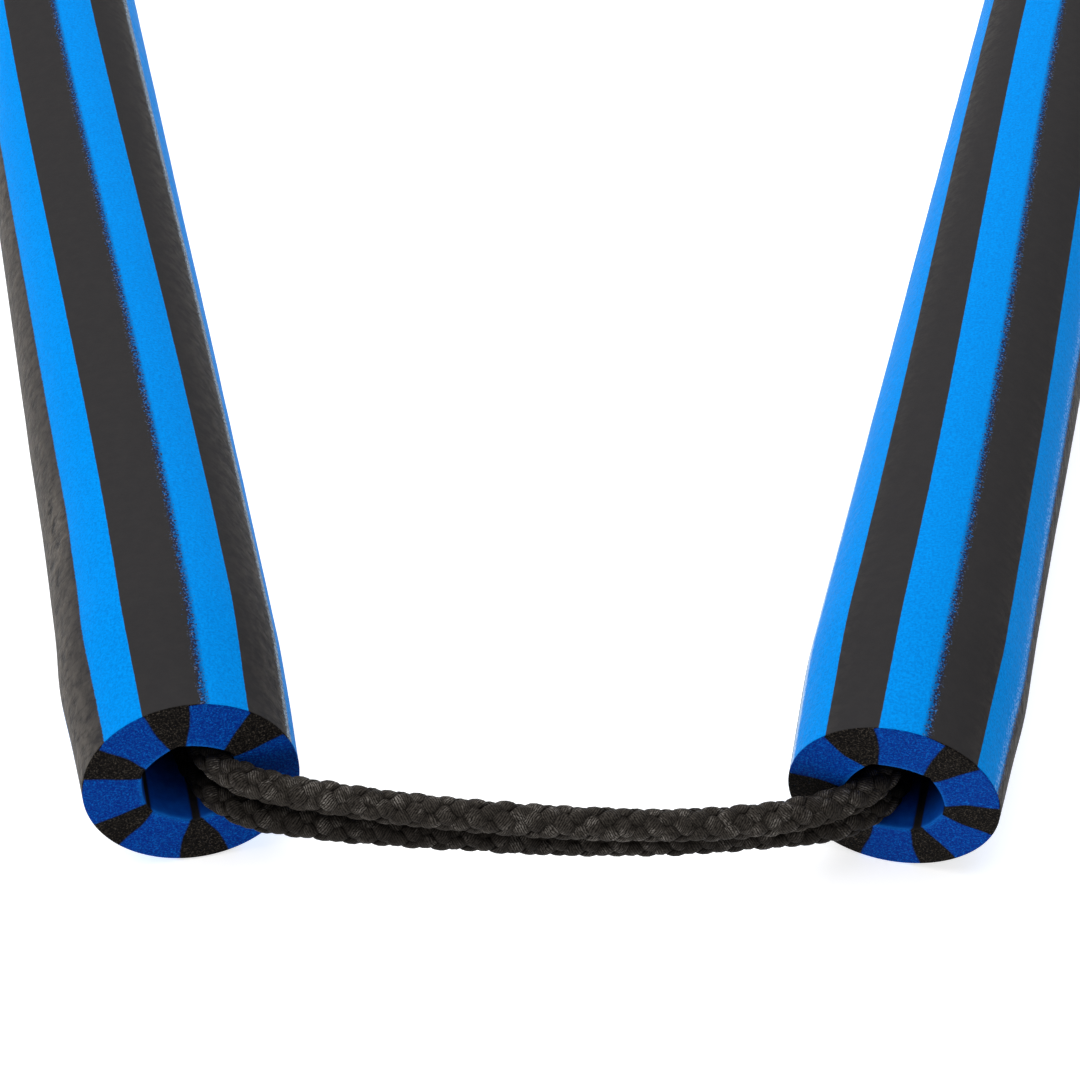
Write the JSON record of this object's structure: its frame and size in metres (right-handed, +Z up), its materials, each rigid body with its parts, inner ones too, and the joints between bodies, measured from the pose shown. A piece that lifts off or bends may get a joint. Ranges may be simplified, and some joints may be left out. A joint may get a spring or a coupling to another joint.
{
  "type": "foam practice nunchaku",
  "caption": "Foam-sleeved training sticks with lengthwise blue and black stripes, joined by a short doubled plaited cord that leaves their open foam mouths.",
  "frame": {"origin": "on the ground under the middle of the two handles", "axes": "+Z up, +Y along the handles from the cord end to the far ends, +X to the right handle"},
  "size_m": [0.2792, 0.3044, 0.035],
  "materials": {
    "foam_blue": "satin",
    "foam_black": "matte",
    "core_pvc": "matte",
    "plug_nylon": "satin",
    "steel": "satin",
    "cord_black": "satin"
  },
  "bodies": {
    "cord": {"cord_upper": "cord_black", "cord_lower": "cord_black"},
    "left_knot": {"left_knot": "cord_black"},
    "left_handle": {"left_foam_blue": "foam_blue", "left_foam_black": "foam_black", "left_core_tube": "core_pvc", "left_cord_plug": "plug_nylon", "left_plug_pins": "steel", "left_washer": "steel", "left_core_cap": "plug_nylon", "left_end_plug": "foam_black"},
    "right_knot": {"right_knot": "cord_black"},
    "right_handle": {"right_foam_blue": "foam_blue", "right_foam_black": "foam_black", "right_core_tube": "core_pvc", "right_cord_plug": "plug_nylon", "right_plug_pins": "steel", "right_washer": "steel", "right_core_cap": "plug_nylon", "right_end_plug": "foam_black"}
  },
  "joints": [
    {"name": "left_swing", "type": "hinge", "parent": "cord", "child": "left_knot", "pos_m": [-0.05273, -0.14996, 0.0175], "axis": [0, 0, 1], "range_deg": [-20, 76.5], "deforming": ["cord_upper", "cord_lower"]},
    {"name": "left_spin", "type": "hinge", "parent": "left_knot", "child": "left_handle", "pos_m": [-0.06361, -0.10465, 0.0175], "axis": [-0.2334, 0.9724, 0], "continuous": true},
    {"name": "right_swing", "type": "hinge", "parent": "cord", "child": "right_knot", "pos_m": [0.05273, -0.14856, 0.0175], "axis": [0, 0, -1], "range_deg": [-20, 76.5], "deforming": ["cord_upper", "cord_lower"]},
    {"name": "right_spin", "type": "hinge", "parent": "right_knot", "child": "right_handle", "pos_m": [0.06361, -0.10325, 0.0175], "axis": [0.2334, 0.9724, 0], "continuous": true}
  ]
}
